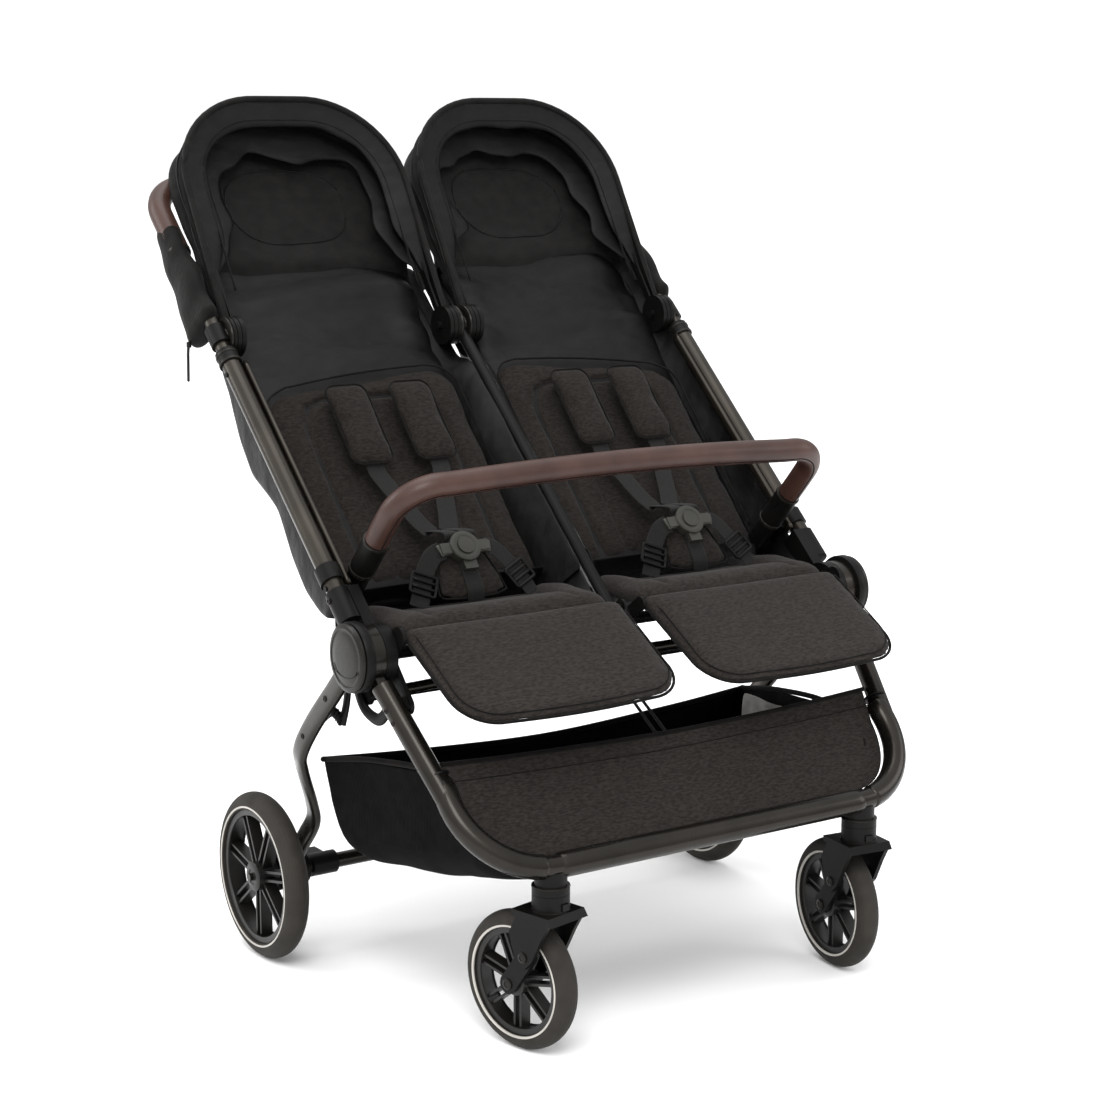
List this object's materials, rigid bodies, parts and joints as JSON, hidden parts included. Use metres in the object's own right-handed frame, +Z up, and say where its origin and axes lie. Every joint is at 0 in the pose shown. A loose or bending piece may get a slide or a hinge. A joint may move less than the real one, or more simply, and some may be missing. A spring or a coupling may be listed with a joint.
{
  "type": "side-by-side double stroller",
  "caption": "Side-by-side double stroller: folding tube frame, swivel front wheels, two reclining padded seats with hoods, calf rests, a shared bumper bar and a basket.",
  "frame": {"origin": "on the ground, under the middle of the whole width and length", "axes": "+X across, to the child's left as seen from the front of the stroller, +Y to the back where the handle is, +Z up"},
  "size_m": [0.764, 0.832, 1.0913],
  "materials": {
    "tyre_rubber": "matt black-brown foam rubber tyre with fine tread marks",
    "rim_plastic": "satin black moulded spoke wheel",
    "frame_paint": "dark bronze-black satin powder coat",
    "brown_leather": "dark brown leather-look wrap with fine grain",
    "pin_steel": "plain steel pin",
    "hood_fabric": "black tight woven hood fabric",
    "basket_fabric": "black woven basket fabric with a pale grey lining",
    "seat_fabric": "charcoal melange woven fabric",
    "buckle_plastic": "dark grey moulded buckle plastic",
    "dark_plastic": "satin black moulded plastic"
  },
  "bodies": {
    "chassis": {"front_frame": "frame_paint", "fold_pins": "pin_steel", "caster_sockets": "dark_plastic", "seat_frame": "dark_plastic", "basket": "basket_fabric", "basket_front_panel": "seat_fabric", "seat_cushions": "seat_fabric"},
    "upper_frame": {"upper_tubes": "frame_paint", "upper_brackets": "dark_plastic", "tube_collars": "dark_plastic", "handle_tube": "frame_paint", "handle_grip": "brown_leather", "release_housing": "dark_plastic", "centre_post": "dark_plastic", "hood_mounts": "dark_plastic", "hood_rear_fabric": "hood_fabric", "crotch_pads": "seat_fabric", "buckles": "buckle_plastic"},
    "rear_frame": {"rear_legs": "frame_paint", "hub_covers": "dark_plastic", "rear_axle": "pin_steel", "brake_housings": "dark_plastic"},
    "brake_pedal": {"brake_pedal": "dark_plastic"},
    "fold_trigger": {"fold_trigger": "dark_plastic"},
    "bar_mount": {"bar_sockets": "dark_plastic"},
    "bumper": {"bar_collars": "dark_plastic", "bumper_bar": "brown_leather"},
    "buckle_button_left": {"buckle_button_left": "buckle_plastic"},
    "rear_wheel_left": {"tyre_rear_left": "tyre_rubber", "rim_rear_left": "rim_plastic"},
    "caster_left": {"caster_fork_left": "dark_plastic"},
    "suspension_left": {"caster_arm_left": "dark_plastic"},
    "front_wheel_left": {"tyre_front_left": "tyre_rubber", "rim_front_left": "rim_plastic"},
    "swivel_lock_left": {"swivel_lock_left": "dark_plastic"},
    "hood_mid_left": {"hood_mid_bow_left": "dark_plastic", "hood_mid_fabric_left": "hood_fabric"},
    "hood_front_left": {"hood_front_bow_left": "dark_plastic", "hood_front_fabric_left": "hood_fabric"},
    "seat_back_left": {"seat_back_left": "seat_fabric", "shoulder_pads_left": "seat_fabric"},
    "calf_rest_left": {"calf_rest_left": "seat_fabric"},
    "bar_button_left": {"bar_button_left": "dark_plastic"},
    "buckle_button_right": {"buckle_button_right": "buckle_plastic"},
    "rear_wheel_right": {"tyre_rear_right": "tyre_rubber", "rim_rear_right": "rim_plastic"},
    "caster_right": {"caster_fork_right": "dark_plastic"},
    "suspension_right": {"caster_arm_right": "dark_plastic"},
    "front_wheel_right": {"tyre_front_right": "tyre_rubber", "rim_front_right": "rim_plastic"},
    "swivel_lock_right": {"swivel_lock_right": "dark_plastic"},
    "hood_mid_right": {"hood_mid_bow_right": "dark_plastic", "hood_mid_fabric_right": "hood_fabric"},
    "hood_front_right": {"hood_front_bow_right": "dark_plastic", "hood_front_fabric_right": "hood_fabric"},
    "seat_back_right": {"seat_back_right": "seat_fabric", "shoulder_pads_right": "seat_fabric"},
    "calf_rest_right": {"calf_rest_right": "seat_fabric"},
    "bar_button_right": {"bar_button_right": "dark_plastic"}
  },
  "joints": [
    {"name": "frame_fold", "type": "hinge", "parent": "chassis", "child": "upper_frame", "pos_m": [0, -0.178, 0.452], "axis": [1, 0, 0], "range_deg": [0, 116]},
    {"name": "rear_leg_fold", "type": "hinge", "parent": "chassis", "child": "rear_frame", "pos_m": [0, -0.178, 0.452], "axis": [1, 0, 0], "range_deg": [-28, 0]},
    {"name": "bar_swing", "type": "hinge", "parent": "upper_frame", "child": "bar_mount", "pos_m": [0, -0.07749, 0.51697], "axis": [1, 0, 0], "range_deg": [-75, 0]},
    {"name": "bar_pull_off", "type": "slide", "parent": "bar_mount", "child": "bumper", "axis": [0, -0.6756, 0.7373], "range_m": [0, 0.045]},
    {"name": "brake_pedal_press", "type": "hinge", "parent": "rear_frame", "child": "brake_pedal", "pos_m": [0, 0.103, 0.108], "axis": [-1, 0, 0], "range_deg": [0, 18]},
    {"name": "fold_trigger_squeeze", "type": "slide", "parent": "upper_frame", "child": "fold_trigger", "axis": [0, 0.7373, 0.6756], "range_m": [0, 0.004], "stiffness_N_per_m": 300, "springref_m": -0.001},
    {"name": "rear_wheel_spin_left", "type": "hinge", "parent": "rear_frame", "child": "rear_wheel_left", "pos_m": [-0.355, 0.103, 0.108], "axis": [1, 0, 0], "continuous": true},
    {"name": "caster_swivel_left", "type": "hinge", "parent": "chassis", "child": "caster_left", "pos_m": [-0.2316, -0.378, 0.2], "axis": [0, 0, 1], "continuous": true},
    {"name": "suspension_travel_left", "type": "hinge", "parent": "caster_left", "child": "suspension_left", "pos_m": [-0.2352, -0.36241, 0.124], "axis": [0.9744, 0.225, 0], "range_deg": [0, 10], "stiffness_Nm_per_rad": 12, "springref_deg": -20.05},
    {"name": "front_wheel_spin_left", "type": "hinge", "parent": "suspension_left", "child": "front_wheel_left", "pos_m": [-0.24195, -0.33318, 0.083], "axis": [0.9744, 0.225, 0], "continuous": true},
    {"name": "swivel_lock_press_left", "type": "slide", "parent": "caster_left", "child": "swivel_lock_left", "axis": [-0.225, 0.9744, 0], "range_m": [0, 0.003], "stiffness_N_per_m": 200, "springref_m": -0.001},
    {"name": "hood_mid_open_left", "type": "hinge", "parent": "upper_frame", "child": "hood_mid_left", "pos_m": [-0.177, 0.19359, 0.7925], "axis": [1, 0, 0], "range_deg": [0, 38]},
    {"name": "hood_front_open_left", "type": "hinge", "parent": "hood_mid_left", "child": "hood_front_left", "pos_m": [-0.177, 0.19359, 0.7925], "axis": [1, 0, 0], "range_deg": [0, 38]},
    {"name": "seat_recline_left", "type": "hinge", "parent": "upper_frame", "child": "seat_back_left", "pos_m": [-0.172, -0.04138, 0.46868], "axis": [-1, 0, 0], "range_deg": [0, 30]},
    {"name": "calf_rest_tilt_left", "type": "hinge", "parent": "chassis", "child": "calf_rest_left", "pos_m": [-0.172, -0.21, 0.476], "axis": [1, 0, 0], "range_deg": [-25, 22]},
    {"name": "buckle_press_left", "type": "slide", "parent": "upper_frame", "child": "buckle_button_left", "axis": [0, 0.788, -0.6157], "range_m": [0, 0.0025], "stiffness_N_per_m": 200, "springref_m": -0.001},
    {"name": "bar_button_press_left", "type": "slide", "parent": "bumper", "child": "bar_button_left", "axis": [-1, 0, 0], "range_m": [0, 0.003], "stiffness_N_per_m": 200, "springref_m": -0.001},
    {"name": "rear_wheel_spin_right", "type": "hinge", "parent": "rear_frame", "child": "rear_wheel_right", "pos_m": [0.355, 0.103, 0.108], "axis": [1, 0, 0], "continuous": true},
    {"name": "caster_swivel_right", "type": "hinge", "parent": "chassis", "child": "caster_right", "pos_m": [0.2316, -0.378, 0.2], "axis": [0, 0, 1], "continuous": true},
    {"name": "suspension_travel_right", "type": "hinge", "parent": "caster_right", "child": "suspension_right", "pos_m": [0.23355, -0.36212, 0.124], "axis": [0.9925, -0.1219, 0], "range_deg": [0, 10], "stiffness_Nm_per_rad": 12, "springref_deg": -20.05},
    {"name": "front_wheel_spin_right", "type": "hinge", "parent": "suspension_right", "child": "front_wheel_right", "pos_m": [0.23721, -0.33234, 0.083], "axis": [0.9925, -0.1219, 0], "continuous": true},
    {"name": "swivel_lock_press_right", "type": "slide", "parent": "caster_right", "child": "swivel_lock_right", "axis": [0.1219, 0.9925, 0], "range_m": [0, 0.003], "stiffness_N_per_m": 200, "springref_m": -0.001},
    {"name": "hood_mid_open_right", "type": "hinge", "parent": "upper_frame", "child": "hood_mid_right", "pos_m": [0.177, 0.19359, 0.7925], "axis": [1, 0, 0], "range_deg": [0, 38]},
    {"name": "hood_front_open_right", "type": "hinge", "parent": "hood_mid_right", "child": "hood_front_right", "pos_m": [0.177, 0.19359, 0.7925], "axis": [1, 0, 0], "range_deg": [0, 38]},
    {"name": "seat_recline_right", "type": "hinge", "parent": "upper_frame", "child": "seat_back_right", "pos_m": [0.172, -0.04138, 0.46868], "axis": [-1, 0, 0], "range_deg": [0, 30]},
    {"name": "calf_rest_tilt_right", "type": "hinge", "parent": "chassis", "child": "calf_rest_right", "pos_m": [0.172, -0.21, 0.476], "axis": [1, 0, 0], "range_deg": [-25, 22]},
    {"name": "buckle_press_right", "type": "slide", "parent": "upper_frame", "child": "buckle_button_right", "axis": [0, 0.788, -0.6157], "range_m": [0, 0.0025], "stiffness_N_per_m": 200, "springref_m": -0.001},
    {"name": "bar_button_press_right", "type": "slide", "parent": "bumper", "child": "bar_button_right", "axis": [1, 0, 0], "range_m": [0, 0.003], "stiffness_N_per_m": 200, "springref_m": -0.001}
  ],
  "couplings": [
    {"joint": "rear_leg_fold", "follows": "frame_fold", "ratio": -0.24128},
    {"joint": "bar_swing", "follows": "frame_fold", "ratio": -0.64645},
    {"joint": "hood_front_open_left", "follows": "hood_mid_open_left", "ratio": 1},
    {"joint": "hood_front_open_right", "follows": "hood_mid_open_right", "ratio": 1}
  ]
}
